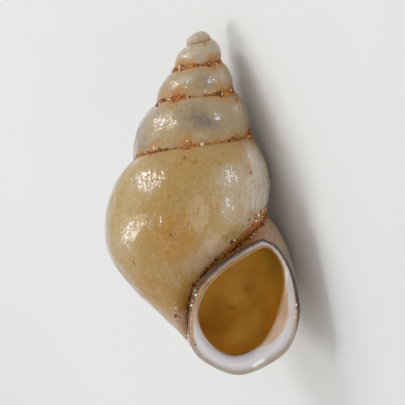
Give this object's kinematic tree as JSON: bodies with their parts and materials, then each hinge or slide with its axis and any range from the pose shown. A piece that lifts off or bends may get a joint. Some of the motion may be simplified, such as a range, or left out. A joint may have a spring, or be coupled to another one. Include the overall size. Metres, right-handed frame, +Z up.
{
  "type": "snail shell",
  "caption": "Small hollow spiral shell of a water snail with a rounded last whorl and an oval opening, lying on its side.",
  "frame": {"origin": "middle of the bounding box at its lowest height, where the shell touches the ground it lies on", "axes": "+Y along the length of the lying shell towards the apex, +Z up, +X the side that the opening faces"},
  "size_m": [0.0026, 0.005, 0.0025],
  "materials": {
    "shell": "glossy, slightly translucent cream shell wall with rusty grains along the seams, a white lip and an amber inside"
  },
  "bodies": {
    "root": {"shell": "shell"}
  },
  "joints": []
}
